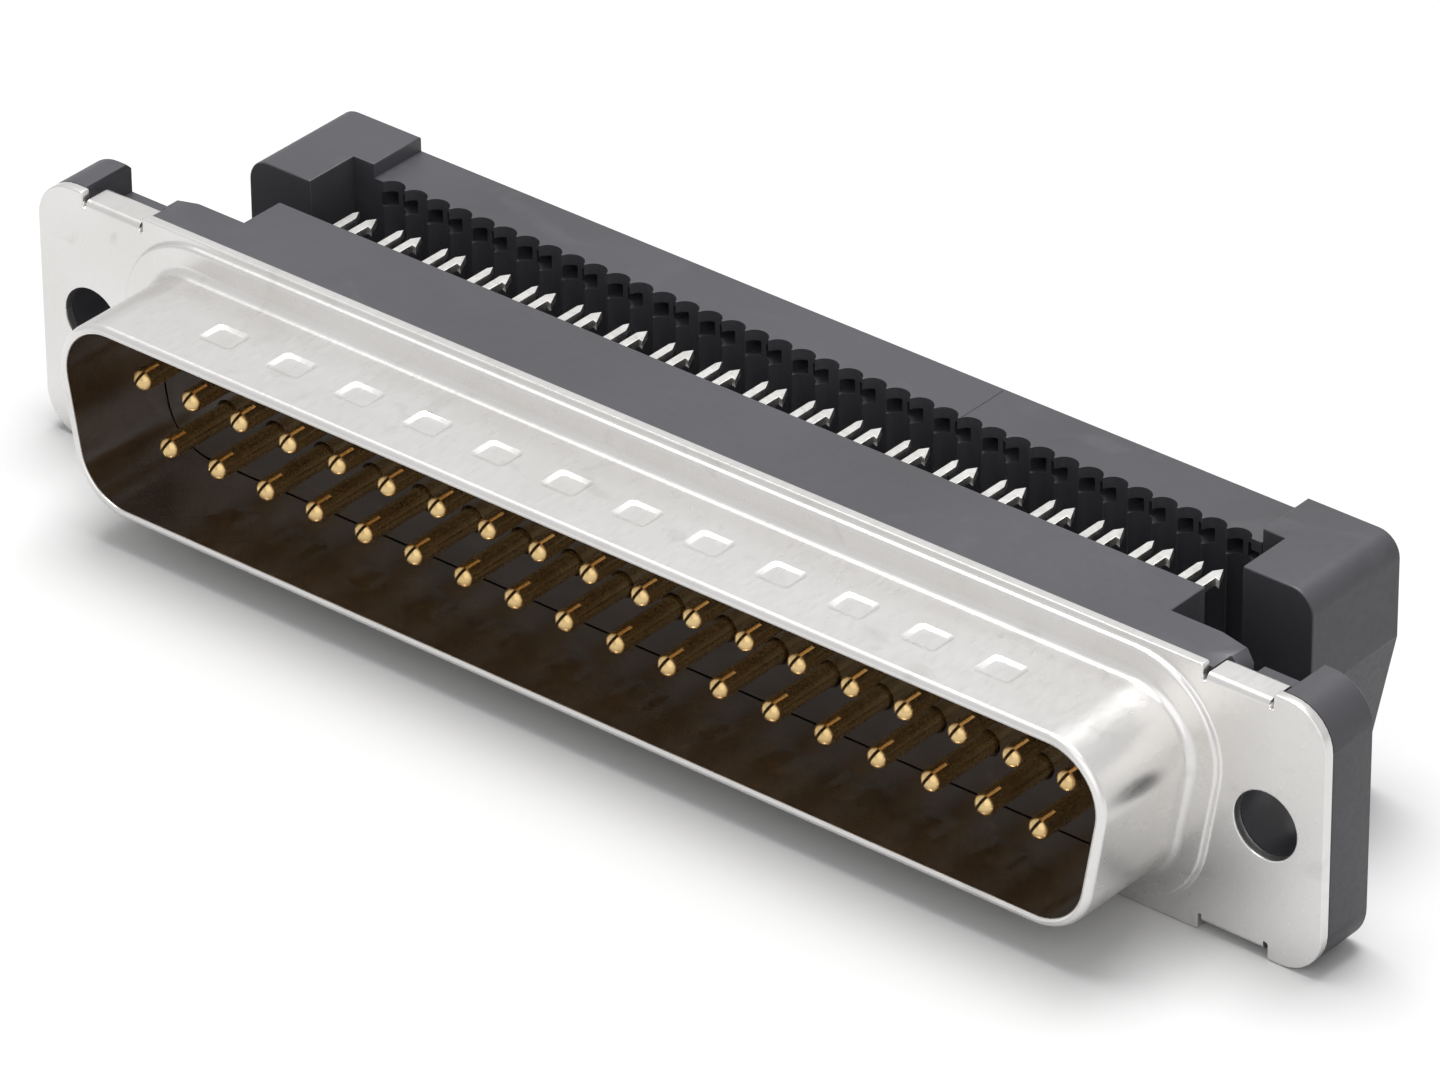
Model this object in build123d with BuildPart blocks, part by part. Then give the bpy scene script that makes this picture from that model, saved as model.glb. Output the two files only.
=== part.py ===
from build123d import *
from math import cos, radians, sin, tan
import os

os.makedirs("parts", exist_ok=True)

# Frame: X runs along the connector, Y runs from the mating face (-Y) to the
# cable side (+Y), Z is up with the wide side of the D on top. The origin lies
# midway between the two screw holes, on the front face of the flange.

# Contacts: 19 in the upper row and 18 in the lower row. Their round pins, and
# the holes round them, are drawn with a few flat sides.
upper_count = 19
lower_count = 18
pin_pitch = 2.77
row_spacing = 2.84
pin_radius = 0.51
pin_sides = 8
hole_sides = 6
pin_tip = 4.4
nose_inset = 0.2
fork_pitch = 2.54
fork_inset = 1.57
contact_sheet = 0.4
strip_foot = 0.8
tine_outer = 0.65
tine_inner = 0.22
fork_tip = 8.2
fork_throat = 5.6
tip_place = 0.5
plain_drop = 0.27
plain_lead = 0.55
barb_reach = 0.27
barb_drop = 0.85
barb_hook = 0.1
barb_lead = 0.4
contact_gap = 0.03

# Front shell: one drawn and stamped sheet of tinned steel
hood_margin = 2.78
hood_height = 8.36
hood_corner = 2.45
hood_slant = 10.0
hood_sheet = 0.45
hood_reach = 5.9
rim_bevel = 0.12
collar_width = 1.45
collar_height = 0.3
collar_bevel = 0.15
root_bevel = 0.45
screw_reach = 4.04
screw_radius = 1.55
flange_end = 2.91
flange_margin = 2.095
flange_corner = 2.0
flange_sheet = 0.5
dimple_count = 12
dimple_pitch = 3.8
dimple_length = 1.8
dimple_width = 1.5
dimple_depth = 0.22
dimple_place = 3.2
dimple_slope = 0.2
tab_inset = 0.355
tab_sheet = 0.4
tab_bevel = 0.15
tab_relief = 0.2
tab_overlap = 0.4
tab_grip = 0.7
tab_hook = 1.0

# Front insulator: carries the pins in the mouth of the hood
insulator_front = 0.35
insulator_gap = 0.04
seat_margin = 0.49
seat_rise = 0.77
seat_depth = 1.1

# Rear body: ears, notches for the shell's tabs, and the wire block
body_inset = 0.075
step_wall = 0.9
step_depth = 2.1
block_margin = 2.09
block_depth = 4.37
ear_depth = 2.9
ear_length = 2.46
ear_bevel = 0.35
notch_gap = 0.12
end_slope_run = 1.2
end_slope_drop = 0.25
end_face_run = 0.35
end_face_drop = 0.6
slot_gap = 0.05
strip_room = 0.1
post_width = 1.4
post_height = 2.4
post_reach = 8.3
ridge_height = 0.12
ridge_length = 0.5
ridge_crest = 0.24
ridge_place = 0.7

# Cable cover, modelled in its raised position
travel = 4.4
groove_radius = 0.76
groove_sides = 6
groove_depth = 0.45
bar_margin = 1.14
bar_inset = 0.7
bar_depth = 3.1
leg_length = 2.85
leg_gap = 0.2
leg_wall = 0.65
end_step = 0.4
clamp_room = 0.63
side_round = 1.1
lean_start = 1.4
lean_angle = 12.0
window_gap = 0.09
window_height = 0.7
channel_gap = 0.15

# Lengths that follow from the rows of pins and forks, and heights that follow
# from the hood's
pin_row = (upper_count - 1) * pin_pitch
fork_row = (upper_count - 1) * fork_pitch
hood_width = pin_row + 2 * hood_margin
screw_spacing = hood_width + 2 * screw_reach
flange_length = screw_spacing + 2 * flange_end
seat_length = hood_width + 2 * seat_margin
step_length = seat_length + 2 * step_wall
cover_length = step_length - 2 * end_step
block_length = fork_row + 2 * block_margin
bar_length = fork_row + 2 * bar_margin
leg_inner = block_length / 2 + leg_gap
post_spacing = 2 * (leg_inner + leg_wall + channel_gap) + post_width
wire_count = upper_count + lower_count
wire_pitch = fork_pitch / 2
seat_height = hood_height + 2 * seat_rise
flange_height = hood_height + 2 * flange_margin
body_height = flange_height - 2 * body_inset
bar_height = body_height - 2 * bar_inset
fork_height = body_height / 2 - fork_inset

# Levels and places that several pieces share
hood_top = hood_height / 2 + hood_sheet
dimple_front = -dimple_place - dimple_width / 2
dimple_rear = -dimple_place + dimple_width / 2
sheet_back = flange_sheet
seat_back = sheet_back + seat_depth
step_back = sheet_back + step_depth
block_back = sheet_back + block_depth
ear_back = sheet_back + ear_depth
strip_front = seat_back + contact_gap
strip_back = strip_front + contact_sheet
wire_face = block_back + clamp_room + travel
cover_back = wire_face + bar_depth
leg_front = wire_face - leg_length
upper_z = row_spacing / 2
strip_low = upper_z - pin_radius - contact_gap
strip_high = fork_height + contact_sheet / 2
ear_inner = flange_length / 2 - ear_length
tab_inner = step_length / 2 - tab_overlap
tab_width = ear_inner - tab_overlap - tab_inner
tab_spacing = 2 * tab_inner + tab_width
tab_height = flange_height / 2 - tab_inset
lip_back = sheet_back + tab_grip
lip_top = tab_height - tab_sheet
notch_floor = tab_height - tab_hook - notch_gap
ridge_y = post_reach - ridge_place

# Nearness within which two levels count as the same when edges are picked
same = 0.01


def at(depth):
    """Plane across the connector at a depth behind the flange's front face."""
    return Plane.XZ.offset(-depth)


def d_outline(grow=0.0):
    """The hood's D, grown outwards: slanted sides joined by round corners."""
    corner = hood_corner + grow
    half_height = hood_height / 2 + grow
    turn_x = hood_width / 2 - hood_corner
    turn_z = hood_height / 2 - hood_corner
    slant = radians(hood_slant)
    side = turn_x * cos(slant) - turn_z * sin(slant) + corner
    top_x = (side + half_height * sin(slant)) / cos(slant)
    low_x = (side - half_height * sin(slant)) / cos(slant)
    with BuildSketch(mode=Mode.PRIVATE) as outline:
        Polygon(
            (-top_x, half_height), (-low_x, -half_height),
            (low_x, -half_height), (top_x, half_height),
            align=None,
        )
        fillet(outline.vertices(), corner)
    return outline.sketch


def row(count, pitch):
    """Places of a row of like features, centred on the connector."""
    return [(index - (count - 1) / 2) * pitch for index in range(count)]


# Each contact as (pin place, fork place, +1 in the upper row or -1 below)
contact_places = [
    (pin, fork, side)
    for count, side in ((upper_count, 1), (lower_count, -1))
    for pin, fork in zip(row(count, pin_pitch), row(count, fork_pitch))
]


# Front shell: flange, collar and hood are one sheet, with its tabs folded back
with BuildPart() as front_shell:
    with BuildSketch(at(sheet_back)):
        RectangleRounded(flange_length, flange_height, flange_corner)
        with GridLocations(tab_spacing, flange_height, 2, 2):
            Rectangle(
                tab_width + 2 * tab_relief, flange_height - 2 * lip_top, mode=Mode.SUBTRACT
            )
        with GridLocations(screw_spacing, 0, 2, 1):
            Circle(screw_radius, mode=Mode.SUBTRACT)
    extrude(amount=flange_sheet)
    with BuildSketch(at(0)):
        add(d_outline(hood_sheet + collar_width))
    extrude(amount=collar_height)
    collar_face = front_shell.faces().sort_by(Axis.Y)[0]
    chamfer(collar_face.edges(), collar_bevel)
    with BuildSketch(at(0)):
        add(d_outline(hood_sheet))
    extrude(amount=hood_reach)
    root_edges = front_shell.edges().filter_by(
        lambda edge: abs(edge.center().Y + collar_height) < same
        and edge.bounding_box().size.Y < same
        and abs(edge.center().Z) < hood_top + same
        and abs(edge.center().X) < hood_width / 2 + hood_sheet + same
    )
    chamfer(root_edges, root_bevel)
    hood_rim = front_shell.faces().sort_by(Axis.Y)[0]
    chamfer(hood_rim.edges(), rim_bevel)
    with BuildSketch(at(sheet_back)):
        add(d_outline())
    extrude(amount=flange_sheet + hood_reach, mode=Mode.SUBTRACT)
    for dimple in row(dimple_count, dimple_pitch):
        with BuildSketch(Plane.YZ.offset(dimple)):
            for side in (1, -1):
                Polygon(
                    (dimple_front, side * hood_top),
                    (dimple_front + dimple_slope, side * (hood_top - dimple_depth)),
                    (dimple_rear - dimple_slope, side * (hood_top - dimple_depth)),
                    (dimple_rear, side * hood_top),
                    align=None,
                )
        extrude(amount=dimple_length / 2, both=True, mode=Mode.SUBTRACT)
    for side in (1, -1):
        for end in (1, -1):
            with BuildSketch(Plane.YZ.offset(end * tab_spacing / 2)) as tab:
                with BuildLine():
                    Polyline(
                        (0, side * (tab_height - 2 * tab_sheet)),
                        (0, side * tab_height),
                        (sheet_back + tab_grip + tab_sheet, side * tab_height),
                        (sheet_back + tab_grip + tab_sheet, side * (tab_height - tab_hook)),
                        (sheet_back + tab_grip, side * (tab_height - tab_hook)),
                        (sheet_back + tab_grip, side * (tab_height - tab_sheet)),
                        (sheet_back, side * (tab_height - tab_sheet)),
                        (sheet_back, side * (tab_height - 2 * tab_sheet)),
                        close=True,
                    )
                make_face()
                outer_bends = tab.vertices().filter_by(
                    lambda corner: abs(abs(corner.Y) - tab_height) < same
                )
                chamfer(outer_bends, tab_bevel)
            extrude(amount=tab_width / 2, both=True)

front_shell.part.label = "front_shell"
export_step(front_shell.part, "parts/front_shell.step")

# Front insulator: a D that fills the hood's mouth, with a seat behind the flange
with BuildPart() as front_insulator:
    with BuildSketch(at(seat_back)):
        Rectangle(seat_length, seat_height)
    extrude(amount=seat_depth)
    with BuildSketch(at(sheet_back)):
        add(d_outline(-insulator_gap))
    extrude(amount=sheet_back + insulator_front)
    with BuildSketch(at(seat_back)):
        for pin, fork, side in contact_places:
            with Locations((pin, side * upper_z)):
                RegularPolygon(pin_radius + contact_gap, hole_sides, major_radius=False)
    extrude(amount=seat_back + insulator_front, mode=Mode.SUBTRACT)

front_insulator.part.label = "front_insulator"
export_step(front_insulator.part, "parts/front_insulator.step")

# Rear body: step plate, wire block and ears in one moulding, hollowed for the strips
with BuildPart() as rear_body:
    with BuildSketch(at(step_back)):
        Rectangle(step_length, body_height)
        for end in (1, -1):
            for side in (1, -1):
                face_x = end * (step_length / 2 - end_face_run)
                slope_z = side * (body_height / 2 - end_slope_drop)
                Polygon(
                    (face_x - end * end_slope_run, side * body_height / 2),
                    (end * step_length / 2, side * body_height / 2),
                    (end * step_length / 2, slope_z - side * end_face_drop),
                    (face_x, slope_z),
                    align=None,
                    mode=Mode.SUBTRACT,
                )
    extrude(amount=step_depth)
    with BuildSketch(at(block_back)):
        Rectangle(block_length, body_height)
    extrude(amount=block_depth)
    with BuildSketch(at(ear_back)):
        RectangleRounded(flange_length, flange_height, flange_corner)
        Rectangle(step_length, flange_height, mode=Mode.SUBTRACT)
    extrude(amount=ear_depth)
    ear_edges = rear_body.edges().filter_by(
        lambda edge: edge.center().Y > ear_back - same and abs(edge.center().X) > ear_inner
    )
    chamfer(ear_edges, ear_bevel)
    with BuildSketch(at(ear_back)):
        with GridLocations(ear_inner + step_length / 2, flange_height, 2, 2):
            Rectangle(ear_inner - step_length / 2, flange_height - 2 * notch_floor)
    extrude(amount=ear_back - lip_back, mode=Mode.SUBTRACT)
    with BuildSketch(at(lip_back + tab_sheet + slot_gap)):
        with GridLocations(ear_inner + tab_inner - slot_gap, flange_height, 2, 2):
            Rectangle(ear_inner - tab_inner + slot_gap, flange_height - 2 * notch_floor)
    extrude(amount=tab_sheet + slot_gap, mode=Mode.SUBTRACT)
    with BuildSketch(at(lip_back)):
        with GridLocations(ear_inner + tab_inner - slot_gap, flange_height, 2, 2):
            Rectangle(ear_inner - tab_inner + slot_gap, flange_height - 2 * lip_top)
    extrude(amount=tab_grip, mode=Mode.SUBTRACT)
    with BuildSketch(at(ear_back)):
        with GridLocations(screw_spacing, 0, 2, 1):
            Circle(screw_radius)
    extrude(amount=ear_depth, mode=Mode.SUBTRACT)
    with BuildSketch(at(seat_back)):
        Rectangle(seat_length + 2 * insulator_gap, seat_height + 2 * insulator_gap)
    extrude(amount=seat_depth, mode=Mode.SUBTRACT)
    with BuildSketch(at(strip_back + slot_gap)):
        with GridLocations(0, strip_low + strip_high, 1, 2):
            Rectangle(pin_row + 2 * (strip_foot + strip_room), strip_high - strip_low + 2 * slot_gap)
    extrude(amount=strip_back + slot_gap - seat_back, mode=Mode.SUBTRACT)
    with BuildSketch(at(block_back)):
        for pin, fork, side in contact_places:
            with Locations((fork + side * barb_reach / 2, side * fork_height)):
                Rectangle(2 * (tine_outer + slot_gap) + barb_reach, contact_sheet + 2 * slot_gap)
    extrude(amount=block_back - seat_back, mode=Mode.SUBTRACT)
    with BuildSketch(at(post_reach)):
        with GridLocations(post_spacing, 0, 2, 1):
            Rectangle(post_width, post_height)
    extrude(amount=post_reach - step_back)
    for end in (1, -1):
        with BuildSketch(Plane.YZ.offset(end * post_spacing / 2)):
            for side in (1, -1):
                Polygon(
                    (ridge_y - ridge_length / 2, side * post_height / 2),
                    (ridge_y - ridge_crest / 2, side * (post_height / 2 + ridge_height)),
                    (ridge_y + ridge_crest / 2, side * (post_height / 2 + ridge_height)),
                    (ridge_y + ridge_length / 2, side * post_height / 2),
                    align=None,
                )
        extrude(amount=post_width / 2, both=True)

rear_body.part.label = "rear_body"
export_step(rear_body.part, "parts/rear_body.step")

# Contacts: a pin, a strip that leads out, and a fork that cuts into a wire
for number, (pin, fork, side) in enumerate(contact_places, start=1):
    with BuildPart() as contact:
        with BuildSketch(at(strip_back)):
            with Locations((pin, side * upper_z)):
                RegularPolygon(pin_radius, pin_sides)
        extrude(amount=strip_back + pin_tip)
        chamfer(contact.faces().sort_by(Axis.Y)[0].edges(), nose_inset)
        with BuildSketch(at(strip_back)):
            Polygon(
                (pin - strip_foot, side * strip_low),
                (pin + strip_foot, side * strip_low),
                (fork + tine_outer, side * strip_high),
                (fork - tine_outer, side * strip_high),
                align=None,
            )
        extrude(amount=contact_sheet)
        with BuildSketch(Plane.XY.offset(side * fork_height - contact_sheet / 2)):
            Polygon(
                (fork - side * tine_outer, strip_front),
                (fork - side * tine_outer, fork_tip - plain_drop),
                (fork - side * tip_place, fork_tip),
                (fork - side * tine_inner, fork_tip - plain_lead),
                (fork - side * tine_inner, fork_throat),
                (fork + side * tine_inner, fork_throat),
                (fork + side * tine_inner, fork_tip - barb_lead),
                (fork + side * tip_place, fork_tip),
                (fork + side * (tine_outer + barb_reach), fork_tip - barb_drop),
                (fork + side * tine_outer, fork_tip - barb_drop + barb_hook),
                (fork + side * tine_outer, strip_front),
                align=None,
            )
        extrude(amount=contact_sheet)
    contact.part.label = f"contact_{number:02d}"
    export_step(contact.part, f"parts/contact_{number:02d}.step")


def end_outline(inner):
    """Both ends of the cover seen from behind, from a given inner edge outwards."""
    half_length = cover_length / 2
    half_height = body_height / 2
    low_x = half_length - (lean_start + half_height) * tan(radians(lean_angle))
    with BuildSketch(mode=Mode.PRIVATE) as outline:
        Polygon(
            (inner, -half_height), (low_x, -half_height), (half_length, lean_start),
            (half_length, half_height), (inner, half_height),
            align=None,
        )
        outer_corners = outline.vertices().filter_by(
            lambda corner: abs(corner.Y) > half_height - same and corner.X > inner + same
        )
        fillet(outer_corners, side_round)
        mirror(about=Plane.YZ)
    return outline.sketch


# Cable cover: a scalloped bar between two end blocks, whose legs slide on the posts
with BuildPart() as cable_cover:
    with BuildSketch(at(cover_back)):
        Rectangle(bar_length, bar_height)
        add(end_outline(bar_length / 2))
    extrude(amount=cover_back - wire_face)
    with BuildSketch(at(wire_face)):
        add(end_outline(leg_inner))
    extrude(amount=wire_face - leg_front)
    with BuildSketch(Plane.XY.offset(-bar_height / 2)):
        for wire in row(wire_count, wire_pitch):
            with Locations((wire, wire_face + groove_depth)):
                RegularPolygon(groove_radius, groove_sides, align=(Align.CENTER, Align.MAX))
    extrude(amount=bar_height, mode=Mode.SUBTRACT)
    with BuildSketch(at(cover_back)):
        for pin, fork, side in contact_places:
            plain_start = tine_inner - window_gap
            plain_end = tine_outer + window_gap
            barb_end = plain_end + barb_reach
            with Locations((fork - side * (plain_start + plain_end) / 2, side * fork_height)):
                Rectangle(plain_end - plain_start, window_height)
            with Locations((fork + side * (plain_start + barb_end) / 2, side * fork_height)):
                Rectangle(barb_end - plain_start, window_height)
    extrude(amount=cover_back - wire_face + groove_depth, mode=Mode.SUBTRACT)
    with BuildSketch(at(cover_back)):
        with GridLocations(post_spacing, 0, 2, 1):
            Rectangle(post_width + 2 * channel_gap, post_height + 2 * channel_gap)
    extrude(amount=cover_back - leg_front, mode=Mode.SUBTRACT)

cable_cover.part.label = "cable_cover"
export_step(cable_cover.part, "parts/cable_cover.step")
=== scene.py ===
import math

import bmesh
import bpy
from mathutils import Matrix, Vector


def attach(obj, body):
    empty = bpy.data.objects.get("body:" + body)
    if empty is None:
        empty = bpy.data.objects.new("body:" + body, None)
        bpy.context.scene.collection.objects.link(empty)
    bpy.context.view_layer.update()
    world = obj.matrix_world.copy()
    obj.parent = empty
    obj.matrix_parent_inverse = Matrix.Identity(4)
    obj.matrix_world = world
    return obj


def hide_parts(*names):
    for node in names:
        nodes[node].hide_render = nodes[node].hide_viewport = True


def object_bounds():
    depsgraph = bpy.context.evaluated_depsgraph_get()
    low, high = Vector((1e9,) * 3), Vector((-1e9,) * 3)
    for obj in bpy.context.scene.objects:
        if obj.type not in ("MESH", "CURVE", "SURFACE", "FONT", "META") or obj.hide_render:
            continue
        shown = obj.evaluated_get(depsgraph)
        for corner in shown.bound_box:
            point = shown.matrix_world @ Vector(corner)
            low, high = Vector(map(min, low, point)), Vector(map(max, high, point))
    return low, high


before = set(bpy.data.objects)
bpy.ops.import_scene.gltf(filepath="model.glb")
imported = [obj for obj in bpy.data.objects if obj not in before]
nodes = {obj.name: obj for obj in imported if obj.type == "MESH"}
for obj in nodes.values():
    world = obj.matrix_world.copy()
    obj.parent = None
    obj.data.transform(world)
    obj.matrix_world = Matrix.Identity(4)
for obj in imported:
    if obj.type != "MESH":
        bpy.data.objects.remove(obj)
solid_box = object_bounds()

# Camera. The photograph shows the connector from its front right, from a third
# of the way up, with a long lens.
mm = 0.001
azimuth = math.radians(39.969)
elevation = math.radians(31.417)
roll = math.radians(-0.495)
distance = 406.006 * mm
aim_right = 2.774 * mm
aim_up = 0.940 * mm
sensor_width = 36.0
focal_pixels = 9780.6
photo_width = 1440.0

back = Vector((
    math.sin(azimuth) * math.cos(elevation),
    -math.cos(azimuth) * math.cos(elevation),
    math.sin(elevation),
))
level_right = Vector((math.cos(azimuth), math.sin(azimuth), 0.0))
level_up = back.cross(level_right)
right = level_right * math.cos(roll) + level_up * math.sin(roll)
up = level_up * math.cos(roll) - level_right * math.sin(roll)

camera_data = bpy.data.cameras.new("camera")
camera_data.sensor_width = sensor_width
camera_data.lens = focal_pixels / photo_width * sensor_width
camera_data.clip_start = 0.01
camera_data.clip_end = 20.0
camera = bpy.data.objects.new("camera", camera_data)
bpy.context.scene.collection.objects.link(camera)
turned = Matrix((right, up, back)).transposed().to_4x4()
turned.translation = right * aim_right + up * aim_up + back * distance
camera.matrix_world = turned
bpy.context.scene.camera = camera
bpy.context.scene.view_settings.view_transform = "Standard"

# Table and light. A pale floor under the flange's lower edge, clear from below, a white
# surround, one soft lamp overhead and a larger, weaker one in front. The camera sees the
# floor and the surround brighter than the connector does.
floor_gap = 0.02 * mm
floor_level = solid_box[0].z - floor_gap
floor_half = 3.0
floor_shade = (0.46, 0.46, 0.46)
floor_seen = (0.54, 0.54, 0.54)
floor_rough = 0.9
surround_strength = 0.7
surround_seen = 1.0


def add_node(tree, kind, **settings):
    """Adds a shader node and sets its plain settings."""
    made = tree.nodes.new(kind)
    for setting, value in settings.items():
        setattr(made, setting, value)
    return made


def mixed(tree, share, base, other):
    """A colour between a base and another. The base may be another node's colour."""
    mix = add_node(tree, "ShaderNodeMix", data_type="RGBA")
    tree.links.new(share, mix.inputs["Factor"])
    if isinstance(base, bpy.types.NodeSocket):
        tree.links.new(base, mix.inputs["A"])
    else:
        mix.inputs["A"].default_value = (*base, 1.0)
    mix.inputs["B"].default_value = (*other, 1.0)
    return mix.outputs["Result"]


def spanned(tree, strength, span, result=(0.0, 1.0)):
    """A strength carried over from one span to another."""
    carried = add_node(tree, "ShaderNodeMapRange")
    carried.inputs["From Min"].default_value = span[0]
    carried.inputs["From Max"].default_value = span[1]
    carried.inputs["To Min"].default_value = result[0]
    carried.inputs["To Max"].default_value = result[1]
    tree.links.new(strength, carried.inputs["Value"])
    return carried.outputs["Result"]


floor_finish = bpy.data.materials.new("pale_floor")
floor_finish.use_nodes = True
floor_tree = floor_finish.node_tree
floor_surface = floor_tree.nodes["Principled BSDF"]
floor_surface.inputs["Roughness"].default_value = floor_rough
floor_ray = add_node(floor_tree, "ShaderNodeLightPath")
floor_colour = mixed(floor_tree, floor_ray.outputs["Is Camera Ray"], floor_shade, floor_seen)
floor_tree.links.new(floor_colour, floor_surface.inputs["Base Color"])
floor_side = add_node(floor_tree, "ShaderNodeNewGeometry")
clear = add_node(floor_tree, "ShaderNodeBsdfTransparent")
one_sided = add_node(floor_tree, "ShaderNodeMixShader")
floor_tree.links.new(floor_side.outputs["Backfacing"], one_sided.inputs["Fac"])
floor_tree.links.new(floor_surface.outputs["BSDF"], one_sided.inputs[1])
floor_tree.links.new(clear.outputs["BSDF"], one_sided.inputs[2])
floor_tree.links.new(one_sided.outputs["Shader"], floor_tree.nodes["Material Output"].inputs["Surface"])

floor_form = bmesh.new()
bmesh.ops.create_grid(floor_form, x_segments=1, y_segments=1, size=floor_half)
bmesh.ops.translate(floor_form, verts=floor_form.verts, vec=(0, 0, floor_level))
floor_mesh = bpy.data.meshes.new("floor")
floor_form.to_mesh(floor_mesh)
floor_form.free()
floor_mesh.materials.append(floor_finish)
floor = bpy.data.objects.new("floor", floor_mesh)
bpy.context.scene.collection.objects.link(floor)

world = bpy.data.worlds.new("surround")
world.use_nodes = True
bpy.context.scene.world = world
world_light = world.node_tree.nodes["Background"]
world_light.inputs["Color"].default_value = (1.0, 1.0, 1.0, 1.0)
world_ray = add_node(world.node_tree, "ShaderNodeLightPath").outputs["Is Camera Ray"]
world_strength = spanned(world.node_tree, world_ray, (0.0, 1.0), (surround_strength, surround_seen))
world.node_tree.links.new(world_strength, world_light.inputs["Strength"])


def soft_lamp(name, place, size, power):
    """A square area lamp at a place, turned towards the connector."""
    data = bpy.data.lights.new(name, "AREA")
    data.size = size
    data.energy = power
    lamp = bpy.data.objects.new(name, data)
    bpy.context.scene.collection.objects.link(lamp)
    lamp.location = place
    lamp.rotation_euler = (-Vector(place)).to_track_quat("-Z", "Y").to_euler()


soft_lamp("overhead_lamp", place=(-0.04, 0.06, 0.50), size=0.30, power=3.6)
soft_lamp("front_lamp", place=(0.30, -0.40, 0.25), size=0.60, power=0.6)

# Front shell. Flange, collar and hood are drawn from one sheet of bright tinned
# steel. The hood has a rolled rim and a row of pressed dimples above and below,
# and four tabs fold back from the flange over the rear body.
hood_width = 55.42
hood_height = 8.36
hood_corner = 2.45
hood_slant = math.radians(10.0)
hood_sheet = 0.45
hood_reach = 5.9
corner_steps = 12
rim_inner = 0.12
rim_outer = 0.30
rim_crown = 0.012
rim_steps = 6
root_round = 0.45
root_steps = 6
collar_level = 0.3
collar_edge = 1.62
collar_round = 0.18
collar_foot = 0.12
flange_half = (34.66, 6.275)
flange_corner = 2.0
flange_steps = 8
flange_sheet = 0.5
flange_edge = 0.07
notch_outer = 32.0
notch_inner = 28.5
notch_floor = 5.52
notch_corner = 0.12
screw_x = 31.75
screw_radius = 1.55
screw_edge = 0.08
screw_sides = 40
edge_crown = 0.3
dimple_count = 12
dimple_pitch = 3.8
dimple_half = (0.9, 0.75)
dimple_place = 3.2
dimple_corner = 0.28
dimple_steps = 4
dimple_hollow = [(0.05, 0.0, 0.0), (-0.01, 0.012, 0.01), (-0.18, 0.11, 0.06), (-0.23, 0.12, 0.07)]
dimple_bump = [(0.30, 0.0, 0.0), (0.10, 0.02, 0.0), (-0.20, 0.07, 0.0), (-0.40, 0.08, 0.0)]
tab_inner = 28.7
tab_width = 3.1
tab_top = 5.92
tab_sheet = 0.4
tab_reach = 1.6
tab_hook = 1.0
tab_bend = 0.3
tab_bend_steps = 5
tab_tip = 0.1
tab_inside = 0.05
inward_limit = -0.5
weld = 0.0005
flat_turn = math.radians(0.5)


def across(depth):
    """Places a flat point (u, v) across the connector at a depth."""
    return lambda u, v: Vector((u, depth, v))


def lying(level):
    """Places a flat point (u, v) on a level plane."""
    return lambda u, v: Vector((u, v, level))


def upright(place):
    """Places a flat point (u, v) on a plane along the connector's depth."""
    return lambda u, v: Vector((place, u, v))


def rounded_loop(form, corners, placed, steps):
    """A closed loop of straight runs, each corner (u, v, radius) turned in steps."""
    known = set(form.edges)
    first = None
    last = None
    for index, (u, v, radius) in enumerate(corners):
        here = placed(u, v)
        before = placed(*corners[index - 1][:2]) - here
        after = placed(*corners[(index + 1) % len(corners)][:2]) - here
        opening = before.angle(after)
        reach = radius / math.tan(opening / 2)
        start = form.verts.new(here + before.normalized() * reach)
        end = start
        if radius:
            inward = (before.normalized() + after.normalized()).normalized()
            centre = here + inward * radius / math.sin(opening / 2)
            from_centre = start.co - centre
            to_centre = here + after.normalized() * reach - centre
            arc = bmesh.ops.spin(
                form, geom=[start], cent=centre, axis=from_centre.cross(to_centre).normalized(),
                angle=from_centre.angle(to_centre), steps=steps,
            )
            end = [made for made in arc["geom_last"] if isinstance(made, bmesh.types.BMVert)][0]
        if last:
            form.edges.new((last, start))
        first = first or start
        last = end
    form.edges.new((last, first))
    return [edge for edge in form.edges if edge not in known]


def bridged(form, loops):
    """Joins loops one after another with a skin of faces."""
    for near, far in zip(loops, loops[1:]):
        bmesh.ops.bridge_loops(form, edges=near + far)


def lined_hole(form, centre, radius, profile, sides):
    """The wall of a round hole through points (grow, depth). Returns its two end loops."""
    loops = []
    for grow, depth in profile:
        known = set(form.edges)
        start = form.verts.new((centre[0] + (radius + grow), depth, centre[1]))
        bmesh.ops.spin(
            form, geom=[start], cent=(centre[0], depth, centre[1]), axis=(0, -1, 0), angle=math.tau,
            steps=sides, use_merge=True,
        )
        loops.append([edge for edge in form.edges if edge not in known])
    bridged(form, loops)
    return loops[0], loops[-1]


def filled(form, loops, normal):
    """Fills the flat area between an outer loop and the loops inside it."""
    edges = [edge for loop in loops for edge in loop]
    bmesh.ops.triangle_fill(form, use_beauty=True, edges=edges, normal=normal)


def opened(form, normal, near):
    """Takes out the largest face square to a line at a point, and returns its border."""
    normal = Vector(normal)
    square = 0.99
    reach = 0.05
    facing = [
        face for face in form.faces
        if abs(face.normal.dot(normal)) > square
        and abs((face.calc_center_median() - near).dot(normal)) < reach
    ]
    widest = max(facing, key=lambda face: face.calc_area())
    border = list(widest.edges)
    bmesh.ops.delete(form, geom=[widest], context="FACES_ONLY")
    return border


def quarter_turn(centre, radius, start, end, steps=4):
    """Points (grow, depth) of a rounded edge, from one angle to another in degrees."""
    turns = [math.radians(start + (end - start) * step / steps) for step in range(steps + 1)]
    return [(centre[0] + radius * math.cos(t), centre[1] + radius * math.sin(t)) for t in turns]


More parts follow.
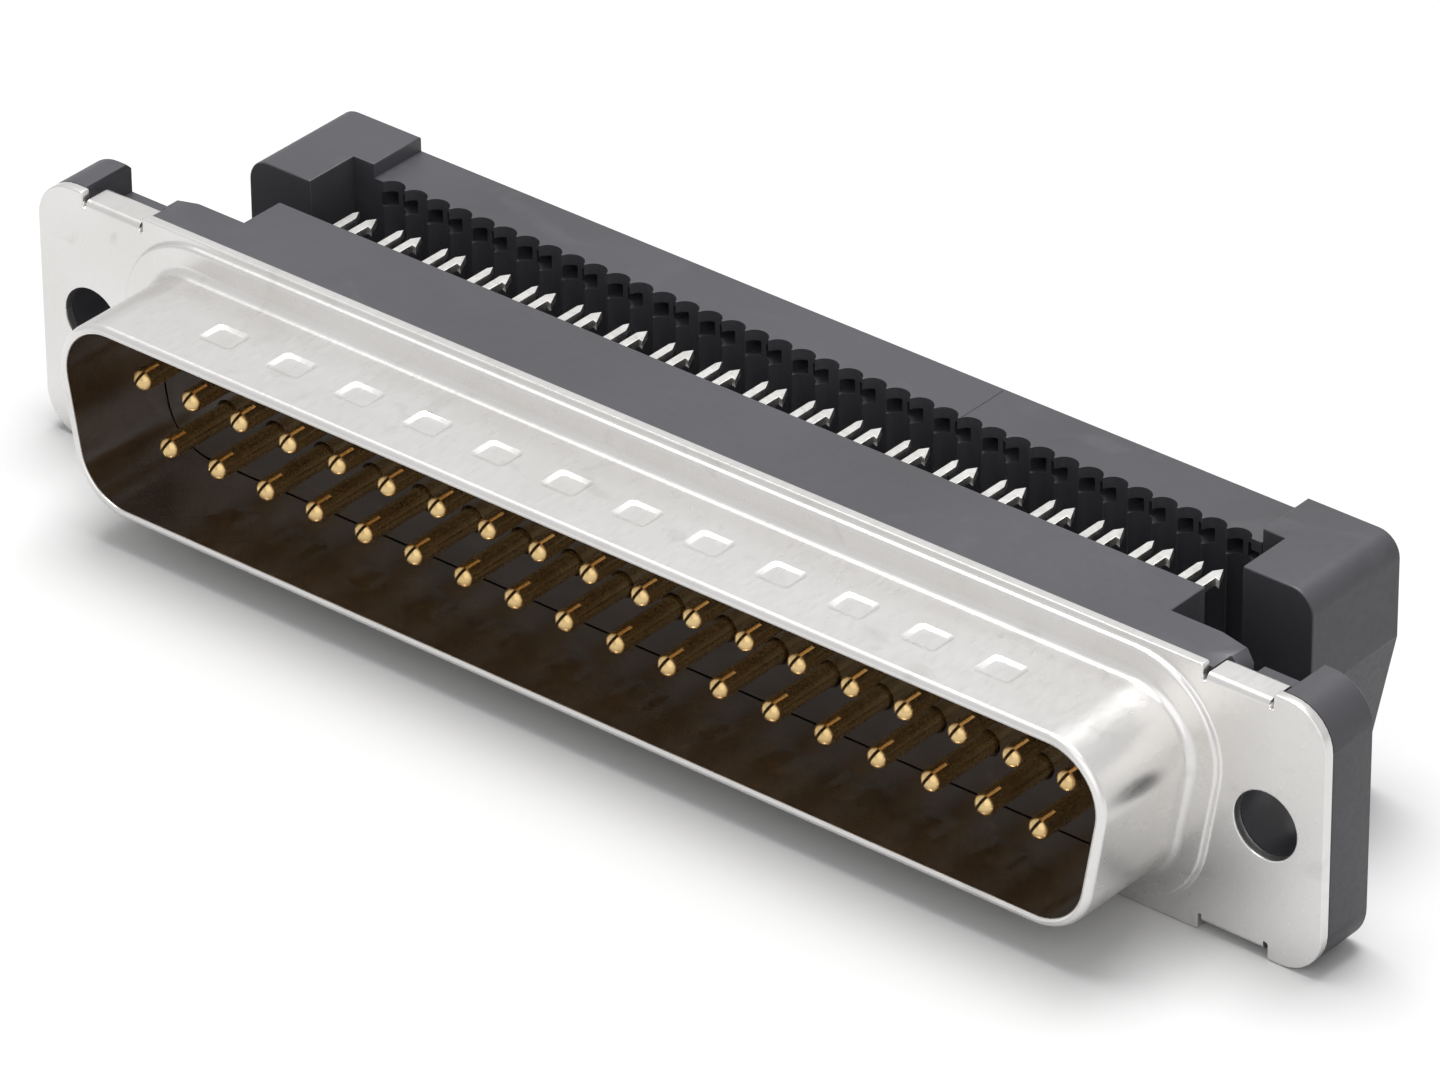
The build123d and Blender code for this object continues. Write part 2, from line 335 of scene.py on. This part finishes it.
def d_corners(grow):
    """Corners of the hood's D, grown outwards."""
    corner = hood_corner + grow
    half_height = hood_height / 2 + grow
    turn_x = hood_width / 2 - hood_corner
    turn_z = hood_height / 2 - hood_corner
    side = turn_x * math.cos(hood_slant) - turn_z * math.sin(hood_slant) + corner
    top_x = (side + half_height * math.sin(hood_slant)) / math.cos(hood_slant)
    low_x = (side - half_height * math.sin(hood_slant)) / math.cos(hood_slant)
    return [
        (top_x, half_height, corner), (-top_x, half_height, corner),
        (-low_x, -half_height, corner), (low_x, -half_height, corner),
    ]


def hood_wall(form, profile):
    """A wall round the hood's D through points (grow, depth). Returns its loops."""
    loops = [rounded_loop(form, d_corners(grow), across(depth), corner_steps) for grow, depth in profile]
    bridged(form, loops)
    return loops


def four_ways(quarter):
    """A loop's corners in one quarter, repeated in the other three."""
    top = quarter + [(-u, v, radius) for u, v, radius in reversed(quarter)]
    return top + [(u, -v, radius) for u, v, radius in reversed(top)]


def boxed(half, centre, corner):
    """Corners of a rounded rectangle."""
    return [
        (centre[0] + across_sign * half[0], centre[1] + up_sign * half[1], corner)
        for across_sign, up_sign in ((1, 1), (-1, 1), (-1, -1), (1, -1))
    ]


def as_object(form):
    """A passing object that holds a form while another is cut from it."""
    mesh = bpy.data.meshes.new("passing")
    form.to_mesh(mesh)
    form.free()
    made = bpy.data.objects.new("passing", mesh)
    bpy.context.scene.collection.objects.link(made)
    return made


def combined(base, other, operation):
    """One form with another added to it or cut out of it."""
    base_object = as_object(base)
    other_object = as_object(other)
    cut = base_object.modifiers.new("cut", "BOOLEAN")
    cut.operation = operation
    cut.solver = "EXACT"
    cut.object = other_object
    reckoned = base_object.evaluated_get(bpy.context.evaluated_depsgraph_get())
    result = bmesh.new()
    result.from_mesh(reckoned.to_mesh())
    for passing in (base_object, other_object):
        mesh = passing.data
        bpy.data.objects.remove(passing)
        bpy.data.meshes.remove(mesh)
    return result


def drawn_out(form, loop, run):
    """Fills a flat loop and draws it out along a run. Returns the edges round both ends."""
    face = bmesh.ops.edgenet_fill(form, edges=loop)["faces"]
    drawn = bmesh.ops.extrude_face_region(form, geom=face)
    moved = [made for made in drawn["geom"] if isinstance(made, bmesh.types.BMVert)]
    bmesh.ops.translate(form, verts=moved, vec=run)
    far = [made for made in drawn["geom"] if isinstance(made, bmesh.types.BMFace)]
    return loop + [edge for face in far for edge in face.edges]


def prism(form, corners, placed, steps, run, ease=0.0):
    """A closed solid: a flat outline drawn out along a run, its end edges eased."""
    rims = drawn_out(form, rounded_loop(form, corners, placed, steps), run)
    if ease:
        bmesh.ops.bevel(form, geom=rims, offset=ease, segments=2, profile=0.5, affect="EDGES", material=-1)
    return form


def press_dimples(form, side, wall, rings):
    """Presses the row of dimples into one flat wall, as rings of spread, drop and lean."""
    border = opened(form, (0, 0, 1), Vector((0, -dimple_place, wall)))
    rims = []
    for index in range(dimple_count):
        centre = ((index - (dimple_count - 1) / 2) * dimple_pitch, -dimple_place)
        loops = []
        for spread, drop, lean in rings:
            half = (dimple_half[0] + spread, dimple_half[1] + spread)
            corners = boxed(half, (centre[0], centre[1] + lean), dimple_corner + spread / 2)
            loops.append(rounded_loop(form, corners, lying(wall - side * drop), dimple_steps))
        bridged(form, loops)
        bmesh.ops.edgenet_fill(form, edges=loops[-1])
        rims.append(loops[0])
    filled(form, [border] + rims, (0, 0, 1))


def merged_flats(form):
    """Joins the faces of each flat area into one."""
    bmesh.ops.remove_doubles(form, verts=form.verts, dist=weld)
    bmesh.ops.dissolve_limit(form, angle_limit=flat_turn, verts=form.verts, edges=form.edges)
    form.normal_update()


def piece(name, form, body, replaced, finishes, sharp):
    """Turns a form drawn in millimetres into a finished piece of the part."""
    bmesh.ops.remove_doubles(form, verts=form.verts, dist=weld)
    bmesh.ops.recalc_face_normals(form, faces=form.faces)
    bmesh.ops.scale(form, vec=(mm, mm, mm), verts=form.verts)
    mesh = bpy.data.meshes.new(name)
    form.to_mesh(mesh)
    form.free()
    for material in finishes:
        mesh.materials.append(material)
    mesh.shade_smooth()
    mesh.set_sharp_from_angle(angle=math.radians(sharp))
    made = bpy.data.objects.new(name, mesh)
    bpy.context.scene.collection.objects.link(made)
    even = made.modifiers.new("even_faces", "WEIGHTED_NORMAL")
    even.keep_sharp = True
    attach(made, body)
    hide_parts(*replaced)


noise_span = (0.3, 0.7)
patch_detail = 4.0
grain_detail = 3.0
spot_scale = 2.6
spot_detail = 6.0
spot_twist = 0.6
spot_span = (0.60, 0.72)


def noise(tree, place, scale, detail, twist=0.0):
    """The strength of a noise pattern over places on a piece."""
    pattern = add_node(tree, "ShaderNodeTexNoise")
    pattern.inputs["Scale"].default_value = scale
    pattern.inputs["Detail"].default_value = detail
    pattern.inputs["Distortion"].default_value = twist
    tree.links.new(place, pattern.inputs["Vector"])
    return pattern.outputs["Fac"]


def finish(name, dark, light, metallic, rough, patch, grain, grain_depth, rubbed, rub, stretch=(1, 1, 1)):
    """A finish with drifting colour, uneven gloss, a fine raised grain and rubbed spots."""
    material = bpy.data.materials.new(name)
    material.use_nodes = True
    tree = material.node_tree
    surface = tree.nodes["Principled BSDF"]
    surface.inputs["Metallic"].default_value = metallic
    place = add_node(tree, "ShaderNodeTexCoord").outputs["Object"]
    patches = noise(tree, place, patch, patch_detail)
    colour = mixed(tree, spanned(tree, patches, noise_span), dark, light)
    spots = noise(tree, place, spot_scale * patch, spot_detail, spot_twist)
    worn = mixed(tree, spanned(tree, spots, spot_span, (0.0, rub)), colour, rubbed)
    tree.links.new(worn, surface.inputs["Base Color"])
    drawn = add_node(tree, "ShaderNodeMapping")
    drawn.inputs["Scale"].default_value = stretch
    tree.links.new(place, drawn.inputs["Vector"])
    fine = noise(tree, drawn.outputs["Vector"], grain, grain_detail)
    tree.links.new(spanned(tree, fine, noise_span, rough), surface.inputs["Roughness"])
    raised = add_node(tree, "ShaderNodeBump")
    raised.inputs["Strength"].default_value = 1.0
    raised.inputs["Distance"].default_value = grain_depth * mm
    tree.links.new(fine, raised.inputs["Height"])
    tree.links.new(raised.outputs["Normal"], surface.inputs["Normal"])
    return material


tinned_steel = finish(
    "tinned_steel", dark=(0.80, 0.785, 0.765), light=(0.86, 0.85, 0.84), metallic=1.0, rough=(0.27, 0.31),
    patch=160, grain=5000, grain_depth=0.00005, rubbed=(0.66, 0.65, 0.63), rub=0.6, stretch=(1, 0.25, 1),
)
# Painted shade: the steel inside the hood's mouth is darker and browner than the outside. The colour stands
# in for the shade inside the hood. Lighter spots are scattered at random.
mouth_steel_painted_shade = finish(
    "mouth_steel_painted_shade", dark=(0.58, 0.51, 0.46), light=(0.76, 0.67, 0.60), metallic=1.0, rough=(0.19, 0.24),
    patch=260, grain=5000, grain_depth=0.00004, rubbed=(0.84, 0.76, 0.70), rub=0.7, stretch=(1, 0.25, 1),
)

shell = bmesh.new()
profile = [(0.0, flange_sheet)]
profile += quarter_turn((rim_inner, rim_inner + rim_crown - hood_reach), rim_inner, 180, 270)
profile += [((rim_inner + hood_sheet - rim_outer) / 2, -hood_reach)]
outer_centre = (hood_sheet - rim_outer, rim_outer + rim_crown - hood_reach)
profile += quarter_turn(outer_centre, rim_outer, 270, 360, rim_steps)
root_centre = (hood_sheet + root_round, -collar_level - root_round)
profile += quarter_turn(root_centre, root_round, 180, 90, root_steps)
profile += quarter_turn((collar_edge, collar_round + rim_crown - collar_level), collar_round, 270, 360)
foot = collar_edge + collar_round + collar_foot
profile += quarter_turn((foot, -collar_foot), collar_foot, 180, 90)[1:]
hood_loops = hood_wall(shell, profile)
bmesh.ops.recalc_face_normals(shell, faces=shell.faces)
shell.normal_update()
for side in (1, -1):
    press_dimples(shell, side, side * (hood_height / 2 + hood_sheet), dimple_hollow)
    press_dimples(shell, side, side * hood_height / 2, dimple_bump)

plate = rounded_loop(
    shell,
    four_ways([
        (flange_half[0], flange_half[1], flange_corner), (notch_outer, flange_half[1], notch_corner),
        (notch_outer, notch_floor, notch_corner), (notch_inner, notch_floor, notch_corner),
        (notch_inner, flange_half[1], notch_corner),
    ]),
    across(0.0), flange_steps,
)
rims = drawn_out(shell, plate, (0, flange_sheet, 0))
bmesh.ops.bevel(shell, geom=rims, offset=flange_edge, segments=3, profile=0.5, affect="EDGES", material=-1)
shell.normal_update()
caps = sorted(
    (face for face in shell.faces if face.calc_area() > flange_half[0] * flange_half[1]),
    key=lambda face: face.calc_center_median().y,
)
borders = [list(face.edges) for face in caps]
bmesh.ops.delete(shell, geom=caps, context="FACES_ONLY")
screw_profile = [
    (screw_edge, 0.0), (screw_edge * edge_crown, screw_edge * edge_crown), (0.0, screw_edge),
    (0.0, flange_sheet - screw_edge), (screw_edge, flange_sheet),
]
screw_rings = [
    lined_hole(shell, (end * screw_x, 0.0), screw_radius, screw_profile, screw_sides) for end in (1, -1)
]
filled(shell, [borders[0], hood_loops[-1]] + [front for front, rear in screw_rings], (0, -1, 0))
filled(shell, [borders[1], hood_loops[0]] + [rear for front, rear in screw_rings], (0, 1, 0))
bmesh.ops.remove_doubles(shell, verts=shell.verts, dist=weld)
bmesh.ops.recalc_face_normals(shell, faces=shell.faces)
tabs = bmesh.new()
for side in (1, -1):
    for start_x in (tab_inner, -tab_inner - tab_width):
        outline = [
            (0.0, tab_top - 2 * tab_sheet, 0.0), (0.0, tab_top, tab_bend), (tab_reach, tab_top, tab_bend),
            (tab_reach, tab_top - tab_hook, tab_tip), (tab_reach - tab_sheet, tab_top - tab_hook, tab_tip),
            (tab_reach - tab_sheet, tab_top - tab_sheet, tab_inside),
            (flange_sheet, tab_top - tab_sheet, tab_inside), (flange_sheet, tab_top - 2 * tab_sheet, 0.0),
        ]
        outline = [(u, side * v, radius) for u, v, radius in outline]
        prism(tabs, outline, upright(start_x), tab_bend_steps, (tab_width, 0, 0))
bmesh.ops.recalc_face_normals(tabs, faces=tabs.faces)
shell = combined(shell, tabs, "UNION")
merged_flats(shell)
# Inward-facing faces inside the hood's mouth take the darker steel, which is painted shade.
for face in shell.faces:
    middle = face.calc_center_median()
    inward = face.normal.x * middle.x + face.normal.z * middle.z < inward_limit
    in_mouth = (
        abs(middle.x) < hood_width / 2 + hood_sheet and abs(middle.z) < hood_height / 2 + hood_sheet / 2
        and middle.y > rim_inner - hood_reach
    )
    face.material_index = 1 if inward and in_mouth else 0
piece(
    "drawn_shell", shell, "connector", ["front_shell"], [tinned_steel, mouth_steel_painted_shade],
    sharp=35,
)

# Front insulator. A glossy dark moulding fills the hood's mouth, with a round
# countersunk hole for each pin, and its seat is clamped behind the flange.
upper_count = 19
lower_count = 18
pin_pitch = 2.77
row_spacing = 2.84
insulator_front = 0.35
insulator_gap = 0.04
plug_edge = 0.04
hole_radius = 0.54
hole_lead = 0.1
hole_sides = 24
seat_half = (28.2, 4.95)
seat_back = 1.6
seat_edge = 0.08
seat_corner = 0.3
seat_steps = 3

# Each contact's row, 1 above and -1 below, and its place from the middle, in pitches.
contact_places = [
    (side, index - (count - 1) / 2)
    for side, count in ((1, upper_count), (-1, lower_count)) for index in range(count)
]

dark_insulator = finish(
    "dark_insulator", dark=(0.010, 0.008, 0.007), light=(0.019, 0.013, 0.010), metallic=0.0,
    rough=(0.14, 0.2), patch=300, grain=2500, grain_depth=0.0005, rubbed=(0.036, 0.027, 0.021), rub=0.6,
)

mouth = bmesh.new()
plug_loops = hood_wall(mouth, [
    (-insulator_gap - plug_edge, -insulator_front),
    (-insulator_gap - plug_edge * edge_crown, plug_edge * edge_crown - insulator_front),
    (-insulator_gap, plug_edge - insulator_front), (-insulator_gap, flange_sheet),
])
seat_profile = [
    (seat_edge, flange_sheet), (0.0, flange_sheet + seat_edge), (0.0, seat_back - seat_edge),
    (seat_edge, seat_back),
]
seat_loops = []
for inset, depth in seat_profile:
    corners = boxed((seat_half[0] - inset, seat_half[1] - inset), (0.0, 0.0), seat_corner)
    seat_loops.append(rounded_loop(mouth, corners, across(depth), seat_steps))
bridged(mouth, seat_loops)
hole_profile = [(hole_lead, -insulator_front), (0.0, hole_lead - insulator_front), (0.0, seat_back)]
pin_mouths = []
for side, place in contact_places:
    centre = (place * pin_pitch, side * row_spacing / 2)
    pin_mouths.append(lined_hole(mouth, centre, hole_radius, hole_profile, hole_sides))
filled(mouth, [plug_loops[0]] + [front for front, rear in pin_mouths], (0, -1, 0))
filled(mouth, [seat_loops[0], plug_loops[-1]], (0, -1, 0))
filled(mouth, [seat_loops[-1]] + [rear for front, rear in pin_mouths], (0, 1, 0))
merged_flats(mouth)
piece("pin_carrier", mouth, "connector", ["front_insulator"], [dark_insulator], sharp=35)

# Rear body. Black glass-filled plastic with slightly eased edges, moulded in one
# piece: a step plate, the wire block, an ear behind each screw hole and two posts.
body_ease = 0.07
body_least_edge = 0.9
corner_turn = (math.radians(60), math.radians(120))

black_plastic = finish(
    "black_plastic", dark=(0.036, 0.035, 0.040), light=(0.046, 0.045, 0.052), metallic=0.0,
    rough=(0.40, 0.5), patch=120, grain=3500, grain_depth=0.002, rubbed=(0.056, 0.055, 0.061), rub=0.6,
)


def outer_corner(edge):
    """Whether an edge is an outer corner that is more or less square."""
    if not edge.is_manifold:
        return False
    return corner_turn[0] < edge.calc_face_angle() < corner_turn[1] and edge.calc_face_angle_signed() > 0


def ease_edges(form, edges, ease):
    """Rounds edges of a plastic moulding."""
    bmesh.ops.bevel(
        form, geom=edges, offset=ease, segments=2, profile=0.5, affect="EDGES", clamp_overlap=False,
        material=-1,
    )


body = bmesh.new()
body.from_mesh(nodes["rear_body"].data)
bmesh.ops.scale(body, vec=(1 / mm, 1 / mm, 1 / mm), verts=body.verts)
merged_flats(body)
body_edges = [edge for edge in body.edges if outer_corner(edge) and edge.calc_length() > body_least_edge]
ease_edges(body, body_edges, body_ease)
piece("moulded_body", body, "connector", ["rear_body"], [black_plastic], sharp=35)

# Contacts. Each is stamped from one strip: a rolled gold-plated pin with an open
# seam at its rounded tip, a flat strip inside the body, and a tinned fork behind.
pin_radius = 0.51
pin_tip = 4.4
pin_sides = 28
nose = 0.42
nose_steps = 6
seam_width = 0.14
seam_depth = 1.15
seam_turn = math.radians(30)
seam_shift = -0.1
contact_sheet = 0.4
strip_front = 1.63
strip_low = 0.88
strip_high = 4.83
strip_foot = 0.8
strip_corner = 0.1
strip_steps = 3
strip_ease = 0.04
fork_pitch = 2.54
fork_height = 4.63
fork_root = strip_front + 0.1
fork_throat = 5.6
fork_tip = 8.2
tine_outer = 0.65
tine_inner = 0.22
tine_ease = 0.035
tip_place = 0.5
plain_drop = 0.27
plain_lead = 0.55
barb_reach = 0.27
barb_drop = 0.85
barb_hook = 0.1
barb_lead = 0.4

pin_gold = finish(
    "pin_gold", dark=(0.72, 0.50, 0.22), light=(0.82, 0.61, 0.31), metallic=1.0, rough=(0.25, 0.28),
    patch=500, grain=6000, grain_depth=0.00002, rubbed=(0.62, 0.42, 0.18), rub=0.5,
)
fork_tin = finish(
    "fork_tin", dark=(0.82, 0.80, 0.77), light=(0.92, 0.91, 0.89), metallic=1.0, rough=(0.27, 0.36),
    patch=900, grain=4000, grain_depth=0.0002, rubbed=(0.62, 0.60, 0.57), rub=0.6,
)

pin_back = strip_front + contact_sheet / 2
nose_turns = [math.radians(90 * step / nose_steps) for step in range(1, nose_steps + 1)]
pin_line = [(0.0, -pin_tip)]
pin_line += [(pin_radius * math.sin(turn), nose - pin_tip - nose * math.cos(turn)) for turn in nose_turns]
pin_line += [(pin_radius, pin_back), (0.0, pin_back)]
pin_form = bmesh.new()
line_verts = [pin_form.verts.new((radius, depth, 0.0)) for radius, depth in pin_line]
line_edges = [pin_form.edges.new(pair) for pair in zip(line_verts, line_verts[1:])]
bmesh.ops.spin(
    pin_form, geom=line_verts + line_edges, cent=(0, 0, 0), axis=(0, 1, 0), angle=math.tau,
    steps=pin_sides, use_merge=True,
)
bmesh.ops.remove_doubles(pin_form, verts=pin_form.verts, dist=weld)
bmesh.ops.recalc_face_normals(pin_form, faces=pin_form.faces)
seam = bmesh.new()
bmesh.ops.create_cube(seam, size=1.0)
bmesh.ops.scale(seam, vec=(seam_width, 2 * seam_depth, 3 * pin_radius), verts=seam.verts)
bmesh.ops.translate(seam, verts=seam.verts, vec=(seam_shift, -pin_tip, 0))
bmesh.ops.rotate(seam, verts=seam.verts, cent=(0, 0, 0), matrix=Matrix.Rotation(seam_turn, 3, "Y"))
pin_form = combined(pin_form, seam, "DIFFERENCE")
pin_mesh = bpy.data.meshes.new("rolled_pin")
pin_form.to_mesh(pin_mesh)
pin_form.free()

fork_outline = [
    (-tine_outer, fork_root), (-tine_outer, fork_tip - plain_drop), (-tip_place, fork_tip),
    (-tine_inner, fork_tip - plain_lead), (-tine_inner, fork_throat), (tine_inner, fork_throat),
    (tine_inner, fork_tip - barb_lead), (tip_place, fork_tip),
    (tine_outer + barb_reach, fork_tip - barb_drop), (tine_outer, fork_tip - barb_drop + barb_hook),
    (tine_outer, fork_root),
]
for number, (side, place) in enumerate(contact_places, start=1):
    pin_x = place * pin_pitch
    fork_x = place * fork_pitch
    contact = bmesh.new()
    contact.from_mesh(pin_mesh)
    bmesh.ops.translate(contact, verts=contact.verts, vec=(pin_x, 0, side * row_spacing / 2))
    pin_faces = set(contact.faces)
    strip = [
        (pin_x - strip_foot, strip_low), (pin_x + strip_foot, strip_low),
        (fork_x + tine_outer, strip_high), (fork_x - tine_outer, strip_high),
    ]
    strip = [(u, side * v, strip_corner) for u, v in strip]
    prism(contact, strip, across(strip_front), strip_steps, (0, contact_sheet, 0), strip_ease)
    fork = [(fork_x + side * u, v, 0.0) for u, v in fork_outline]
    prism(contact, fork, lying(side * fork_height - contact_sheet / 2), 1, (0, 0, contact_sheet), tine_ease)
    for face in contact.faces:
        if face not in pin_faces:
            face.material_index = 1
    piece(
        f"stamped_contact_{number:02d}", contact, "connector", [f"contact_{number:02d}"],
        [pin_gold, fork_tin], sharp=40,
    )
bpy.data.meshes.remove(pin_mesh)

# Cable cover. A black plastic bar with a round groove for each wire and a window
# for each tine, between two end blocks whose legs slide on the body's posts.
wire_count = 37
wire_pitch = 1.27
wire_face = 9.9
cover_back = 13.0
groove_depth = 0.45
groove_half = 0.605
groove_steps = 10
bar_half = (24.5, 5.5)
shoulder = (24.0, 25.6)
end_half = (28.7, 6.2)
end_round = 1.1
end_steps = 8
lean_start = 1.4
lean_angle = math.radians(12.0)
lean_round = 0.6
leg_inner = 25.15
leg_front = 7.05
window_gap = 0.09
window_half = 0.35
window_corner = 0.05
channel_x = 26.65
channel_half = (0.85, 1.35)
channel_corner = 0.15
cut_steps = 2
overrun = 1.0
cover_ease = 0.09
cover_least_edge = 1.0
block_margin = 0.5
groove_margin = 0.1
line_x = 8.3
line_half = 0.035
line_height = 0.02


def joined(form, corners, placed, steps, run, operation):
    """A form with a prism added to it or cut out of it."""
    block = prism(bmesh.new(), corners, placed, steps, run)
    bmesh.ops.recalc_face_normals(block, faces=block.faces)
    return combined(form, block, operation)


groove_radius = (groove_half ** 2 + groove_depth ** 2) / (2 * groove_depth)
groove_turn = 2 * math.asin(groove_half / groove_radius)
bar = bmesh.new()
first = bar.verts.new((-bar_half[0], wire_face, -bar_half[1]))
last = first
for wire in range(wire_count):
    middle = (wire - (wire_count - 1) / 2) * wire_pitch
    start = bar.verts.new((middle - groove_half, wire_face, -bar_half[1]))
    bar.edges.new((last, start))
    centre = (middle, wire_face + groove_depth - groove_radius, -bar_half[1])
    arc = bmesh.ops.spin(
        bar, geom=[start], cent=centre, axis=(0, 0, -1), angle=groove_turn, steps=groove_steps
    )
    last = [made for made in arc["geom_last"] if isinstance(made, bmesh.types.BMVert)][0]
for corner in ((bar_half[0], wire_face), (bar_half[0], cover_back), (-bar_half[0], cover_back)):
    turn_point = bar.verts.new((*corner, -bar_half[1]))
    bar.edges.new((last, turn_point))
    last = turn_point
bar.edges.new((last, first))
drawn_out(bar, bar.edges[:], (0, 0, 2 * bar_half[1]))
bmesh.ops.recalc_face_normals(bar, faces=bar.faces)

windows = bmesh.new()
for side, place in contact_places:
    near = tine_inner - window_gap
    far = tine_outer + window_gap
    for start_x, end_x in ((-far, -near), (near, far + barb_reach)):
        middle = place * fork_pitch + side * (start_x + end_x) / 2
        prism(
            windows,
            boxed(((end_x - start_x) / 2, window_half), (middle, side * fork_height), window_corner),
            across(wire_face - overrun), cut_steps, (0, cover_back - wire_face + 2 * overrun, 0),
        )
bmesh.ops.recalc_face_normals(windows, faces=windows.faces)
bar = combined(bar, windows, "DIFFERENCE")

for end in (1, -1):
    low_x = end_half[0] - (lean_start + end_half[1]) * math.tan(lean_angle)
    leg = [
        (end * leg_inner, -end_half[1], 0.0), (end * low_x, -end_half[1], end_round),
        (end * end_half[0], lean_start, lean_round), (end * end_half[0], end_half[1], end_round),
        (end * leg_inner, end_half[1], 0.0),
    ]
    joint = [
        (end * shoulder[0], -end_half[1], 0.0), (end * shoulder[1], -end_half[1], 0.0),
        (end * shoulder[1], end_half[1], 0.0), (end * shoulder[0], end_half[1], 0.0),
    ]
    for outline, front in ((leg, leg_front), (joint, wire_face)):
        bar = joined(bar, outline, across(front), end_steps, (0, cover_back - front, 0), "UNION")
    bar = joined(
        bar, boxed(channel_half, (end * channel_x, 0.0), channel_corner), across(leg_front - overrun),
        cut_steps, (0, cover_back - leg_front + 2 * overrun, 0), "DIFFERENCE",
    )
merged_flats(bar)
bar_edges = []
for edge in bar.edges:
    start = edge.verts[0].co
    on_block = max(abs(vert.co.x) for vert in edge.verts) > leg_inner + block_margin
    on_groove = abs(start.x) < shoulder[0] - groove_margin and start.y < cover_back - groove_margin
    if outer_corner(edge) and not on_groove and (on_block or edge.calc_length() > cover_least_edge):
        bar_edges.append(edge)
ease_edges(bar, bar_edges, cover_ease)
bar = joined(
    bar, boxed((line_half, 2 * line_height), (line_x, bar_half[1] - line_height), 0.0),
    across(wire_face + 2 * cover_ease), 1, (0, cover_back - wire_face - 4 * cover_ease, 0), "UNION",
)
piece("grooved_cover", bar, "cover", ["cable_cover"], [black_plastic], sharp=45)
